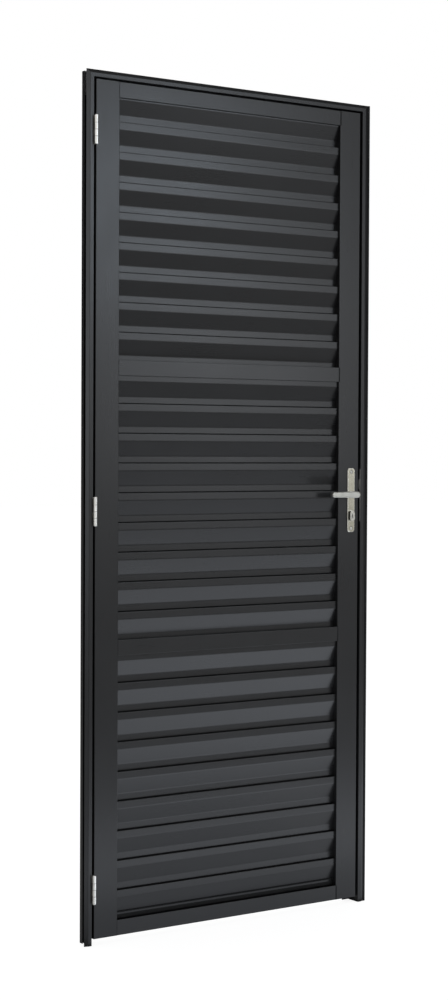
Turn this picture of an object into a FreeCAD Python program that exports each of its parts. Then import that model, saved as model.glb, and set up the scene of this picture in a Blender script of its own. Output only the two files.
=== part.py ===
import FreeCAD, Part
import math
import os
import Sketcher

# Louvred aluminium door in its frame, in millimetres.
# X runs from the hinge side to the lock side, Y from the room into the wall, Z up from the floor.
# The origin is the lower hinge-side corner of the wall opening, on the room face of the wall.

SIZES = {
    # Frame
    "frame_width": 860,
    "frame_height": 2100,
    "frame_depth": 40,
    "frame_skin": 1.8,
    "front_lip": 8,
    "rear_lip": 12,
    "stop_reach": 19,
    "stop_thickness": 2,
    "jamb_face": 19.5,
    "head_face": 17,
    "wall_cover": 12,
    "head_cover": 10,
    "edge_strip": 9,
    "edge_thickness": 0.6,
    "shoulder_thickness": 3,
    "rim_thickness": 4,
    "rim_edge_radius": 0.6,
    "corner_plate_length": 57,
    "corner_plate_thickness": 2,
    "fixing_hole_radius": 3.5,
    "fixing_hole_inset": 300,
    # Leaf in the frame
    "hinge_gap": 7,
    "lock_gap": 6.6,
    "head_gap": 5.2,
    "floor_gap": 15,
    "leaf_setback": 2,
    "leaf_thickness": 34,
    "leaf_skin": 1.6,
    "stile_width": 66,
    "rail_height": 37.5,
    "leaf_edge_radius": 0.9,
    "stile_edge_radius": 1.4,
    # Louvre blades
    "blade_skin": 1.8,
    "nose_setback": 6.2,
    "nose_height": 18,
    "slant_height": 36.8,
    "slant_depth": 10.6,
    "flat_height": 15.5,
    "drip_height": 9.2,
    "drip_reach": 4.6,
    "blade_edge_radius": 0.3,
    "nose_edge_radius": 1.4,
    "blade_bend_radius": 12,
    "drip_bend_radius": 1.6,
    "top_tuck": 15.5,
    "mid_tuck": 4.5,
    "foot_tuck": 12.5,
    "sill_tuck": 8.6,
    # Hinges
    "hinge_inset": 121,
    "hinge_proud": 7,
    "knuckle_radius": 4.6,
    "knuckle_end": 18.2,
    "finial_height": 1.25,
    "finial_radius": 3.6,
    "knuckle_middle": 16,
    "knuckle_play": 0.8,
    "pin_radius": 3,
    "pin_play": 0.1,
    "hinge_plate": 2,
    "hinge_plate_depth": 25.5,
    # Lock
    "lever_axis_height": 1080,
    "backset": 25,
    "lock_plate_width": 23.5,
    "lock_plate_height": 168,
    "lock_plate_drop": 15,
    "lock_plate_thickness": 3,
    "lock_plate_corner": 7,
    "lock_plate_bevel": 1.2,
    "lever_reach": 77.5,
    "lever_hub_radius": 8.4,
    "lever_tip_radius": 7.2,
    "lever_thickness": 12,
    "lever_clear": 18.6,
    "lever_round": 3.5,
    "lever_back_round": 1.5,
    "neck_radius": 6.8,
    "spindle_side": 8,
    "spindle_play": 0.8,
    "turning_play": 0.3,
    "cylinder_drop": 56.4,
    "cylinder_width": 15,
    "cylinder_height": 27,
    "cylinder_proud": 6,
    "keyway_width": 2.4,
    "keyway_height": 9,
    "keyway_depth": 6,
    "forend_width": 22,
    "forend_height": 190,
    "forend_thickness": 3,
    "case_thickness": 16,
    "case_depth": 48,
    "case_height": 160,
    "latch_rise": 26,
    "latch_height": 22,
    "latch_thickness": 12,
    "latch_throw": 12,
    "latch_tail": 18,
    "latch_travel": 12,
    "latch_bevel": 9,
    "strike_drop": 2,
    "strike_height": 137,
    "strike_width": 24,
    "strike_play": 1,
}
BLADES_IN_A_SECTION = 9

doc = FreeCAD.newDocument("louvred_door")
sheet = doc.addObject("Spreadsheet::Sheet", "Sizes")
for row, (alias, size) in enumerate(SIZES.items(), start=1):
    sheet.set(f"A{row}", alias)
    sheet.set(f"B{row}", str(size))
    sheet.setAlias(f"B{row}", alias)
doc.recompute()

PIECES = []


def size(text):
    """Turn a sum of size names into an expression on the sheet's cells."""
    words = text.replace("(", " ( ").replace(")", " ) ").split()
    return "(" + " ".join(f"Sizes.{word}" if word in SIZES else word for word in words) + ")"


def place(thing, x, y, z):
    """Tie the three coordinates of an object's place to the sheet."""
    for axis, expression in zip("xyz", (x, y, z)):
        thing.setExpression(f"Placement.Base.{axis}", expression)


def keep(thing, label):
    """Name a finished sub-part and put it on the list that is written out."""
    thing.Label = label
    PIECES.append(thing)
    return thing


# Places that several pieces share

JAMB = size("jamb_face - wall_cover")
HEAD = size("head_face - head_cover")
LOCK_REBATE = size("frame_width - wall_cover - jamb_face")
LEAF_LEFT = size(f"{JAMB} + hinge_gap")
LEAF_RIGHT = size(f"{LOCK_REBATE} - lock_gap")
LEAF_FRONT = size("leaf_setback - rim_thickness")
LEAF_BACK = size(f"{LEAF_FRONT} + leaf_thickness")
LEAF_MIDDLE = size(f"{LEAF_FRONT} + leaf_thickness / 2")
LEAF_TOP = size("frame_height - head_face - head_gap")
LEAF_HEIGHT = size(f"{LEAF_TOP} - floor_gap")
PANEL_LEFT = size(f"{LEAF_LEFT} + stile_width")
PANEL_WIDTH = size(f"{LEAF_RIGHT} - {LEAF_LEFT} - 2 * stile_width")
BLADE_HEIGHT = size("nose_height + slant_height + flat_height + drip_height")
TUCKS = size("top_tuck + 2 * mid_tuck + 2 * foot_tuck + sill_tuck")
BLADE_SPAN = size(f"{LEAF_HEIGHT} - 4 * rail_height + {TUCKS} - 3 * {BLADE_HEIGHT}")
BLADE_STEPS = BLADES_IN_A_SECTION - 1
BLADE_PITCH = f"({BLADE_SPAN} / {3 * BLADE_STEPS})"
SECTION = f"({BLADE_HEIGHT} + {BLADE_STEPS} * {BLADE_PITCH})"
BOTTOM_RAIL = size("floor_gap")
LOWER_FOOT = size("floor_gap + rail_height - sill_tuck")
LOWER_RAIL = size(f"{LOWER_FOOT} + {SECTION} - mid_tuck")
MIDDLE_FOOT = size(f"{LOWER_RAIL} + rail_height - foot_tuck")
UPPER_RAIL = size(f"{MIDDLE_FOOT} + {SECTION} - mid_tuck")
UPPER_FOOT = size(f"{UPPER_RAIL} + rail_height - foot_tuck")
TOP_RAIL = size(f"{LEAF_TOP} - rail_height")
LEVER_X = size(f"{LEAF_RIGHT} - backset")
LATCH_LOW = size("lever_axis_height + latch_rise - latch_height / 2")


# Bodies from sketched profiles


def origin_plane(body, role):
    """Find one of a body's own origin planes."""
    return next(feature for feature in body.Origin.OriginFeatures if feature.Role == role)


def new_body(label):
    """Start a body that is kept as a sub-part."""
    return keep(doc.addObject("PartDesign::Body", label), label)


def new_sketch(body, role):
    """Start a sketch on one of the body's origin planes."""
    sketch = body.newObject("Sketcher::SketchObject", f"{body.Name}_profile")
    sketch.AttachmentSupport = (origin_plane(body, role), [""])
    sketch.MapMode = "FlatFace"
    return sketch


def drive(sketch, constraints):
    """Add (constraint, expression) pairs and tie each driven one to the sheet."""
    numbers = sketch.addConstraint([constraint for constraint, _ in constraints])
    for number, (_, expression) in zip(numbers, constraints):
        if expression:
            name = f"driven_{number}"
            sketch.renameConstraint(number, name)
            sketch.setExpression(f"Constraints.{name}", expression)


def draw_corners(sketch, corners):
    """Draw a closed straight-sided outline whose corners are pairs of expressions."""
    first = sketch.GeometryCount
    count = len(corners)
    turns = [2 * math.pi * number / count for number in range(count)]
    points = [FreeCAD.Vector(10 * math.cos(turn), 10 * math.sin(turn), 0) for turn in turns]
    sketch.addGeometry([Part.LineSegment(points[i - 1], points[i]) for i in range(count)], False)
    constraints = []
    for i, (across, up) in enumerate(corners):
        line, following = first + i, first + (i + 1) % count
        constraints.append((Sketcher.Constraint("Coincident", line, 2, following, 1), None))
        constraints.append((Sketcher.Constraint("DistanceX", -1, 1, line, 2, points[i].x), across))
        constraints.append((Sketcher.Constraint("DistanceY", -1, 1, line, 2, points[i].y), up))
    drive(sketch, constraints)


def draw_circle(sketch, across, up, radius):
    """Draw a circle from expressions for its centre and radius."""
    circle = sketch.addGeometry(Part.Circle(FreeCAD.Vector(1, 1, 0), FreeCAD.Vector(0, 0, 1), 1), False)
    drive(
        sketch,
        [
            (Sketcher.Constraint("DistanceX", -1, 1, circle, 3, 1.0), across),
            (Sketcher.Constraint("DistanceY", -1, 1, circle, 3, 1.0), up),
            (Sketcher.Constraint("Radius", circle, 1.0), radius),
        ],
    )


def draw_slot(sketch, width, height, across="0", up="0"):
    """Draw an upright round-ended slot from expressions for its size and centre."""
    first = sketch.GeometryCount
    right, top, left, bottom = range(first, first + 4)
    upright = FreeCAD.Vector(0, 0, 1)
    half_turn = math.pi
    top_circle = Part.Circle(FreeCAD.Vector(0, 5, 0), upright, 3)
    bottom_circle = Part.Circle(FreeCAD.Vector(0, -5, 0), upright, 3)
    sketch.addGeometry(
        [
            Part.LineSegment(FreeCAD.Vector(3, -5, 0), FreeCAD.Vector(3, 5, 0)),
            Part.ArcOfCircle(top_circle, 0, half_turn),
            Part.LineSegment(FreeCAD.Vector(-3, 5, 0), FreeCAD.Vector(-3, -5, 0)),
            Part.ArcOfCircle(bottom_circle, half_turn, 2 * half_turn),
        ],
        False,
    )
    straight = f"(({height} - {width}) / 2)"
    drive(
        sketch,
        [
            (Sketcher.Constraint("Tangent", right, 2, top, 1), None),
            (Sketcher.Constraint("Tangent", top, 2, left, 1), None),
            (Sketcher.Constraint("Tangent", left, 2, bottom, 1), None),
            (Sketcher.Constraint("Tangent", bottom, 2, right, 1), None),
            (Sketcher.Constraint("Vertical", right), None),
            (Sketcher.Constraint("Vertical", left), None),
            (Sketcher.Constraint("DistanceX", -1, 1, top, 3, 0.0), across),
            (Sketcher.Constraint("Radius", top, 3.0), f"({width} / 2)"),
            (Sketcher.Constraint("DistanceY", -1, 1, top, 3, 5.0), f"({up} + {straight})"),
            (Sketcher.Constraint("DistanceY", -1, 1, bottom, 3, -5.0), f"({up} - {straight})"),
        ],
    )


def pad(body, sketch, length, backwards=False):
    """Extrude a sketch along its normal, or against it."""
    feature = body.newObject("PartDesign::Pad", f"{body.Name}_pad")
    feature.Profile = sketch
    feature.Reversed = backwards
    feature.setExpression("Length", length)
    return feature


def pocket(body, sketch, length, backwards=False):
    """Cut a sketch into the body against its normal, or along it."""
    feature = body.newObject("PartDesign::Pocket", f"{body.Name}_pocket")
    feature.Profile = sketch
    feature.Reversed = backwards
    feature.setExpression("Length", length)
    return feature


def round_edges(body, feature, edges, radius):
    """Round the numbered edges of a body's latest feature."""
    rounding = body.newObject("PartDesign::Fillet", f"{body.Name}_rounding")
    rounding.Base = (feature, [f"Edge{number}" for number in edges])
    rounding.setExpression("Radius", radius)
    return rounding


def edges_where(feature, test):
    """Number the edges of a feature, from 1, that pass a test."""
    doc.recompute()
    return [number for number, edge in enumerate(feature.Shape.Edges, start=1) if test(edge)]


def corner_edges(feature, sketch, corners):
    """Number the edges that an extrusion drew out of the numbered corners of its sketch."""
    doc.recompute()
    back = sketch.Placement.inverse()
    points = [sketch.Geometry[corner].EndPoint for corner in corners]

    def starts_there(edge):
        ends = [back.multVec(vertex.Point) for vertex in edge.Vertexes]
        if len(ends) != 2 or abs(ends[0].z - ends[1].z) < 1e-3:
            return False
        flat = FreeCAD.Vector(ends[0].x, ends[0].y, 0)
        return any((flat - point).Length < 1e-5 for point in points)

    return edges_where(feature, starts_there)


def extruded(label, role, outlines, length, x, y, z, rounds=()):
    """Make a body by extruding closed outlines from a plane, round some corners, and place it.

    Each round is a list of corner numbers, in the order that the outlines draw them, and a radius.
    """
    body = new_body(label)
    sketch = new_sketch(body, role)
    for corners in outlines:
        draw_corners(sketch, corners)
    feature = pad(body, sketch, length)
    for corners, radius in rounds:
        feature = round_edges(body, feature, corner_edges(feature, sketch, corners), radius)
    place(body, x, y, z)
    return body


def rectangle(low_across, low_up, high_across, high_up):
    """Give the corners of a rectangle from its expressions."""
    return [
        (low_across, low_up),
        (high_across, low_up),
        (high_across, high_up),
        (low_across, high_up),
    ]


# Wall frame


def channel_corners(thickness, side, swap=False):
    """Outline of the frame's open channel, from the wall face towards the opening.

    The side is 1 or -1 for the way that the opening lies, and swap gives depth first.
    """
    skin, depth = size("frame_skin"), size("frame_depth")
    front_lip, rear_lip = size("front_lip"), size("frame_depth - rear_lip")
    far_skin, rear_skin = f"({thickness} - {skin})", f"({depth} - {skin})"
    corners = [
        ("0", "0"),
        (thickness, "0"),
        (thickness, depth),
        ("0", depth),
        ("0", rear_lip),
        (skin, rear_lip),
        (skin, rear_skin),
        (far_skin, rear_skin),
        (far_skin, skin),
        (skin, skin),
        (skin, front_lip),
        ("0", front_lip),
    ]
    signed = [(f"({side} * {across})", deep) for across, deep in corners]
    return [(deep, across) for across, deep in signed] if swap else signed


def make_jamb(label, side, wall_x):
    """Upright channel with a door stop along its back and two fixing holes."""
    body = new_body(label)
    profile = new_sketch(body, "XY_Plane")
    draw_corners(profile, channel_corners(JAMB, side))
    pad(body, profile, size("frame_height"))
    stop = new_sketch(body, "XY_Plane")
    near, far = f"({side} * {JAMB})", f"({side} * ({JAMB} + Sizes.stop_reach))"
    stop_front = size("frame_depth - stop_thickness")
    draw_corners(stop, rectangle(near, stop_front, far, size("frame_depth")))
    pad(body, stop, size("frame_height - head_face - stop_reach"))
    holes = new_sketch(body, "YZ_Plane")
    for height in ("fixing_hole_inset", "frame_height - fixing_hole_inset"):
        draw_circle(holes, size("frame_depth / 2"), size(height), size("fixing_hole_radius"))
    pocket(body, holes, JAMB, backwards=side > 0)
    place(body, wall_x, "0", "0")
    return body


def make_header():
    """Level channel between the jambs, with its own stop."""
    outline = channel_corners(HEAD, -1, swap=True)
    stop_front, under = size("frame_depth - stop_thickness"), f"(-1 * ({HEAD} + Sizes.stop_reach))"
    inner_corner = outline.index((size("frame_depth"), f"(-1 * {HEAD})"))
    outline[inner_corner : inner_corner + 1] = [
        (stop_front, f"(-1 * {HEAD})"),
        (stop_front, under),
        (size("frame_depth"), under),
    ]
    length = f"({LOCK_REBATE} - {JAMB})"
    top = size("frame_height - head_cover")
    return extruded("header", "YZ_Plane", [outline], length, JAMB, "0", top)


def trim_corners(face, strip):
    """Section of the face trim, across from its outer edge and out from the wall.

    A low strip slopes up from the outer edge over the wall, and a raised strip stands beside the leaf.
    """
    rim = size("rim_thickness")
    return [
        ("0", "0"),
        (face, "0"),
        (face, rim),
        (strip, rim),
        (strip, size("shoulder_thickness")),
        ("0", size("edge_thickness")),
    ]


def rim_rounds(section, face, strip):
    """Corners of the raised strip in a trim's section, and their radius."""
    rim = size("rim_thickness")
    corners = [section.index((across, rim)) for across in (face, strip)]
    return [(corners, size("rim_edge_radius"))]


def cut_mitre(body, corners):
    """Cut a trim's end away in front of the wall."""
    mitre = new_sketch(body, "XZ_Plane")
    draw_corners(mitre, corners)
    pocket(body, mitre, size("rim_thickness"), backwards=True)


def make_upright_trim(label, side, outer_x):
    """Upright face trim, mitred at its top."""
    face, height = size("jamb_face"), size("frame_height")
    strip = size("edge_strip")
    section = trim_corners(face, strip)
    outline = [(f"({side} * {across})", f"(-1 * {out})") for across, out in section]
    rounds = rim_rounds(section, face, strip)
    body = extruded(label, "XY_Plane", [outline], height, outer_x, "0", "0", rounds)
    inner = f"({side} * {face})"
    cut_mitre(body, [("0", height), (inner, size("frame_height - head_face")), (inner, height)])
    return body


def make_head_trim():
    """Level face trim over the header, mitred at both ends."""
    face, width = size("head_face"), size("frame_width")
    strip = size("edge_strip * head_face / jamb_face")
    section = trim_corners(face, strip)
    outline = [(f"(-1 * {out})", f"(-1 * {across})") for across, out in section]
    rounds = rim_rounds(section, face, strip)
    left, top = size("0 - wall_cover"), size("frame_height")
    body = extruded("head_trim", "YZ_Plane", [outline], width, left, "0", top, rounds)
    under = f"(-1 * {face})"
    cut_mitre(body, [("0", "0"), ("0", under), (size("jamb_face"), under)])
    cut_mitre(body, [(width, "0"), (width, under), (size("frame_width - jamb_face"), under)])
    return body


def make_box(name, length, width, height, x, y, z):
    """Make a placed block from expressions."""
    block = doc.addObject("Part::Box", name)
    for side, expression in (("Length", length), ("Width", width), ("Height", height)):
        block.setExpression(side, expression)
    place(block, x, y, z)
    return block


def make_cylinder(name, radius, height, x, y, z):
    """Make a placed upright cylinder from expressions."""
    rod = doc.addObject("Part::Cylinder", name)
    rod.setExpression("Radius", radius)
    rod.setExpression("Height", height)
    place(rod, x, y, z)
    return rod


def make_corner_plate(label, low_x):
    """Plate inside a jamb's channel that ties the jamb to the header's end."""
    length = size("corner_plate_length")
    plate = make_box(
        label,
        size("corner_plate_thickness"),
        size("frame_depth - 2 * frame_skin"),
        length,
        low_x,
        size("frame_skin"),
        size(f"frame_height - {length}"),
    )
    return keep(plate, label)


STRIKE_LOW = size("lever_axis_height - strike_drop - strike_height / 2")
STRIKE_FRONT = size(f"{LEAF_MIDDLE} - strike_width / 2")


def make_strike():
    """Strike plate flush in the lock jamb's rebate wall, with the latch's hole."""
    thickness = size("frame_skin")
    blank = make_box(
        "strike_blank",
        thickness,
        size("strike_width"),
        size("strike_height"),
        LOCK_REBATE,
        STRIKE_FRONT,
        STRIKE_LOW,
    )
    hole = make_box(
        "strike_hole",
        thickness,
        size("latch_thickness + 2 * strike_play"),
        size("latch_height + 2 * strike_play"),
        LOCK_REBATE,
        size(f"{LEAF_MIDDLE} - latch_thickness / 2 - strike_play"),
        size(f"{LATCH_LOW} - strike_play"),
    )
    plate = doc.addObject("Part::Cut", "strike_plate")
    plate.Base, plate.Tool = blank, hole
    return keep(plate, "strike_plate")


def cut_strike_window(jamb):
    """Open the lock jamb's rebate wall to the outline of the strike plate."""
    sketch = new_sketch(jamb, "YZ_Plane")
    rear = size(f"{STRIKE_FRONT} + strike_width")
    top = size(f"{STRIKE_LOW} + strike_height")
    draw_corners(sketch, rectangle(STRIKE_FRONT, STRIKE_LOW, rear, top))
    sketch.setExpression("AttachmentOffset.Base.z", f"(-1 * {JAMB} + Sizes.frame_skin)")
    pocket(jamb, sketch, size("frame_skin"))


# Leaf


def make_stile(label, left):
    """Hollow upright of the leaf."""
    skin, width, depth = size("leaf_skin"), size("stile_width"), size("leaf_thickness")
    outer = rectangle("0", "0", width, depth)
    inner = rectangle(skin, skin, f"({width} - {skin})", f"({depth} - {skin})")
    rounds = [(range(4), size("stile_edge_radius"))]
    return extruded(
        label, "XY_Plane", [outer, inner], LEAF_HEIGHT, left, LEAF_FRONT, size("floor_gap"), rounds
    )


def rail_corners(web_low, open_above, open_below):
    """Outline of a rail: front and back walls joined by one level web."""
    skin, depth, height = size("leaf_skin"), size("leaf_thickness"), size("rail_height")
    web_high = f"({web_low} + {skin})"
    back = f"({depth} - {skin})"
    corners = [("0", "0")]
    if open_below:
        corners += [(skin, "0"), (skin, web_low), (back, web_low), (back, "0")]
    corners += [(depth, "0"), (depth, height)]
    if open_above:
        corners += [(back, height), (back, web_high), (skin, web_high), (skin, height)]
    corners.append(("0", height))
    return corners


def make_rail(label, low_z, web_low, open_above=True, open_below=True):
    """Cross rail between the stiles, open towards the blades that tuck into it."""
    outline = rail_corners(web_low, open_above, open_below)
    height, depth = size("rail_height"), size("leaf_thickness")
    outer = [("0", "0"), (depth, "0"), (depth, height), ("0", height)]
    rounds = [([outline.index(corner) for corner in outer], size("leaf_edge_radius"))]
    return extruded(label, "YZ_Plane", [outline], PANEL_WIDTH, PANEL_LEFT, LEAF_FRONT, low_z, rounds)


def blade_corners():
    """Outline of a louvre blade: front nose, slant back and down, rear flat and leaning drip lip."""
    nose, rear = size("nose_setback"), size("nose_setback + slant_depth")
    lip = f"({rear} + Sizes.drip_reach)"
    levels = (
        (nose, BLADE_HEIGHT),
        (nose, size("slant_height + flat_height + drip_height")),
        (rear, size("flat_height + drip_height")),
        (rear, size("drip_height")),
        (lip, "0"),
    )
    back = [(f"({deep} + Sizes.blade_skin)", up) for deep, up in levels]
    return list(levels) + back[::-1]


def blade_rounds(outline):
    """Soft bends at both ends of the slant, tighter ones at the drip lip, and a rolled nose."""
    half = len(outline) // 2
    ends, lips, bends = [], [], []
    for number in range(1, len(outline)):
        level = min(number, len(outline) - 1 - number)
        chosen = ends if level in (0, half - 1) else lips if level == half - 2 else bends
        chosen.append(number)
    radii = ("blade_bend_radius", "drip_bend_radius", "blade_edge_radius")
    rounds = [(corners, size(radius)) for corners, radius in zip((bends, lips, ends), radii)]
    return rounds + [([0], size("nose_edge_radius"))]


def make_blades(section, foot):
    """Nine like blades of one section, one node each, from the foot upwards."""
    outline = blade_corners()
    rounds = blade_rounds(outline)
    for number in range(BLADES_IN_A_SECTION):
        low_z = f"({foot} + {number} * {BLADE_PITCH})"
        label = f"{section}_blade_{BLADES_IN_A_SECTION - number}"
        extruded(label, "YZ_Plane", [outline], PANEL_WIDTH, PANEL_LEFT, LEAF_FRONT, low_z, rounds)


def cut_lock_openings(stile):
    """Openings in the lock stile for the spindle, the key cylinder and the lock's forend."""
    through = new_sketch(stile, "XZ_Plane")
    across = size("stile_width - backset")
    axis_up = size("lever_axis_height - floor_gap")
    draw_circle(through, across, axis_up, size("spindle_side * 0.7072 + spindle_play"))
    cylinder_up = f"({axis_up} - Sizes.cylinder_drop)"
    draw_slot(through, size("cylinder_width"), size("cylinder_height"), across, cylinder_up)
    pocket(stile, through, size("leaf_thickness"))
    edge = new_sketch(stile, "YZ_Plane")
    low_y = size("leaf_thickness / 2 - forend_width / 2")
    low_z = f"({axis_up} - Sizes.lock_plate_drop - Sizes.forend_height / 2)"
    high_z = f"({low_z} + Sizes.forend_height)"
    draw_corners(edge, rectangle(low_y, low_z, f"({low_y} + Sizes.forend_width)", high_z))
    edge.setExpression("AttachmentOffset.Base.z", size("stile_width - leaf_skin"))
    pocket(stile, edge, size("leaf_skin"), backwards=True)


# Hinges


HINGE_X = size(f"{JAMB} + hinge_gap / 2")
HINGE_Y = size(f"{LEAF_FRONT} - hinge_proud")
HINGE_LENGTH = size("2 * knuckle_end + 2 * knuckle_middle")
HINGE_CENTRES = {
    "high": size(f"{LEAF_TOP} - hinge_inset"),
    "middle": size(f"( {LEAF_TOP} + floor_gap ) / 2"),
    "low": size("floor_gap + hinge_inset"),
}
PLATE_FRONT = size(f"{HINGE_Y} + knuckle_radius + knuckle_play")
DOOR_KNUCKLES = (
    (size("knuckle_end + 2 * knuckle_middle"), size("knuckle_end")),
    (size("knuckle_end"), size("knuckle_middle")),
)
FRAME_KNUCKLES = (
    ("0", size("knuckle_end")),
    (size("knuckle_end + knuckle_middle"), size("knuckle_middle")),
)


def make_finial(name, low_z, top):
    """Tapered end of a hinge's barrel, above its top knuckle or below its bottom one."""
    tip = doc.addObject("Part::Cone", name)
    wide, narrow = ("Radius1", "Radius2") if top else ("Radius2", "Radius1")
    tip.setExpression(wide, size("knuckle_radius"))
    tip.setExpression(narrow, size("finial_radius"))
    tip.setExpression("Height", size("finial_height"))
    place(tip, HINGE_X, HINGE_Y, low_z)
    return tip


def make_hinge_half(label, centre, knuckles, plate_x, bored):
    """One half of a butt hinge: its plate in the gap, the tabs and its knuckles round the pin."""
    foot = f"({centre} - {HINGE_LENGTH} / 2)"
    thickness = size("hinge_plate")
    solids = [
        make_box(
            f"{label}_plate",
            thickness,
            size("hinge_plate_depth"),
            HINGE_LENGTH,
            plate_x,
            PLATE_FRONT,
            foot,
        )
    ]
    for number, (low, length) in enumerate(knuckles):
        low_z = f"({foot} + {low} + Sizes.knuckle_play / 2)"
        height = f"({length} - Sizes.knuckle_play)"
        tab_depth = f"({PLATE_FRONT} - {HINGE_Y})"
        solids.append(
            make_box(f"{label}_tab_{number}", thickness, tab_depth, height, plate_x, HINGE_Y, low_z)
        )
        solids.append(
            make_cylinder(
                f"{label}_knuckle_{number}", size("knuckle_radius"), height, HINGE_X, HINGE_Y, low_z
            )
        )
    if bored:
        finial_z = f"({foot} + {HINGE_LENGTH} - Sizes.knuckle_play / 2)"
    else:
        finial_z = f"({foot} + Sizes.knuckle_play / 2 - Sizes.finial_height)"
    solids.append(make_finial(f"{label}_finial", finial_z, top=bored))
    half = doc.addObject("Part::MultiFuse", f"{label}_fused")
    half.Shapes = solids
    pin_radius = size("pin_radius + pin_play") if bored else size("pin_radius")
    pin_length = f"({HINGE_LENGTH} + Sizes.finial_height - Sizes.knuckle_play / 2)"
    pin = make_cylinder(f"{label}_pin", pin_radius, pin_length, HINGE_X, HINGE_Y, foot)
    if bored:
        finished = doc.addObject("Part::Cut", label)
        finished.Base, finished.Tool = half, pin
    else:
        finished = doc.addObject("Part::Fuse", label)
        finished.Base, finished.Tool = half, pin
    return keep(finished, label)


# Lock


FRONT_SIDE, BACK_SIDE = -1, 1


def lock_face(side, out):
    """Depth of a plane that stands out from the leaf's front or back face."""
    face = LEAF_FRONT if side == FRONT_SIDE else LEAF_BACK
    return f"({face} + {side} * {out})"


def make_lock_plate(label, side):
    """Round-cornered plate with a bevelled rim, open for the lever's neck and the key cylinder."""
    body = new_body(label)
    sketch = new_sketch(body, "XZ_Plane")
    half_width, half_height = size("lock_plate_width / 2"), size("lock_plate_height / 2")
    outline = rectangle(f"(-1 * {half_width})", f"(-1 * {half_height})", half_width, half_height)
    draw_corners(sketch, outline)
    plate = pad(body, sketch, size("lock_plate_thickness"), backwards=side == BACK_SIDE)
    corners = corner_edges(plate, sketch, range(len(outline)))
    plate = round_edges(body, plate, corners, size("lock_plate_corner"))
    rim = edges_where(plate, lambda edge: lies_on_outer_face(edge, plate, side))
    bevel = body.newObject("PartDesign::Chamfer", f"{label}_bevel")
    bevel.Base = (plate, [f"Edge{number}" for number in rim])
    bevel.setExpression("Size", size("lock_plate_bevel"))
    openings = new_sketch(body, "XZ_Plane")
    draw_circle(openings, "0", size("lock_plate_drop"), size("neck_radius + turning_play"))
    cylinder_up = size("lock_plate_drop - cylinder_drop")
    draw_slot(openings, size("cylinder_width"), size("cylinder_height"), up=cylinder_up)
    pocket(body, openings, size("lock_plate_thickness"), backwards=side == FRONT_SIDE)
    place(
        body,
        LEVER_X,
        LEAF_FRONT if side == FRONT_SIDE else LEAF_BACK,
        size("lever_axis_height - lock_plate_drop"),
    )
    return body


def lies_on_outer_face(edge, feature, side):
    """Tell whether an edge lies on the face of a feature that points away from the leaf."""
    box = feature.Shape.BoundBox
    outer = box.YMin if side == FRONT_SIDE else box.YMax
    return abs(edge.BoundBox.YMin - outer) < 1e-6 and abs(edge.BoundBox.YMax - outer) < 1e-6


def make_lever(label, side):
    """Lever bar with rounded rims on a round neck, standing off the lock plate."""
    body = new_body(label)
    away = side == BACK_SIDE
    neck_length = size("lock_plate_thickness + lever_clear - turning_play")
    grip = new_sketch(body, "XZ_Plane")
    draw_lever(grip)
    direction = "0 - " if away else ""
    grip.setExpression("AttachmentOffset.Base.z", f"({direction}{neck_length})")
    bar = pad(body, grip, size("lever_thickness"), backwards=away)
    for face, radius in ((side, "lever_round"), (-side, "lever_back_round")):
        rim = edges_where(bar, lambda edge: lies_on_outer_face(edge, bar, face))
        bar = round_edges(body, bar, rim, size(radius))
    neck = new_sketch(body, "XZ_Plane")
    draw_circle(neck, "0", "0", size("neck_radius"))
    pad(body, neck, size(f"{neck_length} + lever_thickness / 2"), backwards=away)
    place(body, LEVER_X, lock_face(side, "Sizes.turning_play"), size("lever_axis_height"))
    return body


def draw_lever(sketch):
    """Draw the lever's outline: a hub and a smaller tip joined by their outer tangents."""
    hub, lower, tip, upper = range(4)
    upright = FreeCAD.Vector(0, 0, 1)
    quarter = math.pi / 2
    reach, wide, slim = (SIZES[name] for name in ("lever_reach", "lever_hub_radius", "lever_tip_radius"))
    hub_circle = Part.Circle(FreeCAD.Vector(0, 0, 0), upright, wide)
    tip_circle = Part.Circle(FreeCAD.Vector(-reach, 0, 0), upright, slim)
    sketch.addGeometry(
        [
            Part.ArcOfCircle(hub_circle, -quarter, quarter),
            Part.LineSegment(FreeCAD.Vector(-reach, -slim, 0), FreeCAD.Vector(0, -wide, 0)),
            Part.ArcOfCircle(tip_circle, quarter, 3 * quarter),
            Part.LineSegment(FreeCAD.Vector(0, wide, 0), FreeCAD.Vector(-reach, slim, 0)),
        ],
        False,
    )
    drive(
        sketch,
        [
            (Sketcher.Constraint("Tangent", hub, 2, upper, 1), None),
            (Sketcher.Constraint("Tangent", upper, 2, tip, 1), None),
            (Sketcher.Constraint("Tangent", tip, 2, lower, 1), None),
            (Sketcher.Constraint("Tangent", lower, 2, hub, 1), None),
            (Sketcher.Constraint("Coincident", hub, 3, -1, 1), None),
            (Sketcher.Constraint("PointOnObject", tip, 3, -1), None),
            (Sketcher.Constraint("Radius", hub, wide), size("lever_hub_radius")),
            (Sketcher.Constraint("Radius", tip, slim), size("lever_tip_radius")),
            (Sketcher.Constraint("DistanceX", tip, 3, -1, 1, reach), size("lever_reach")),
        ],
    )


def make_spindle():
    """Square bar that joins the two levers through the lock."""
    side = size("spindle_side")
    front = lock_face(FRONT_SIDE, "Sizes.turning_play")
    back = lock_face(BACK_SIDE, "Sizes.turning_play")
    bar = make_box(
        "spindle",
        side,
        f"({back} - {front})",
        side,
        f"({LEVER_X} - {side} / 2)",
        front,
        f"(Sizes.lever_axis_height - {side} / 2)",
    )
    return keep(bar, "spindle")


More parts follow.
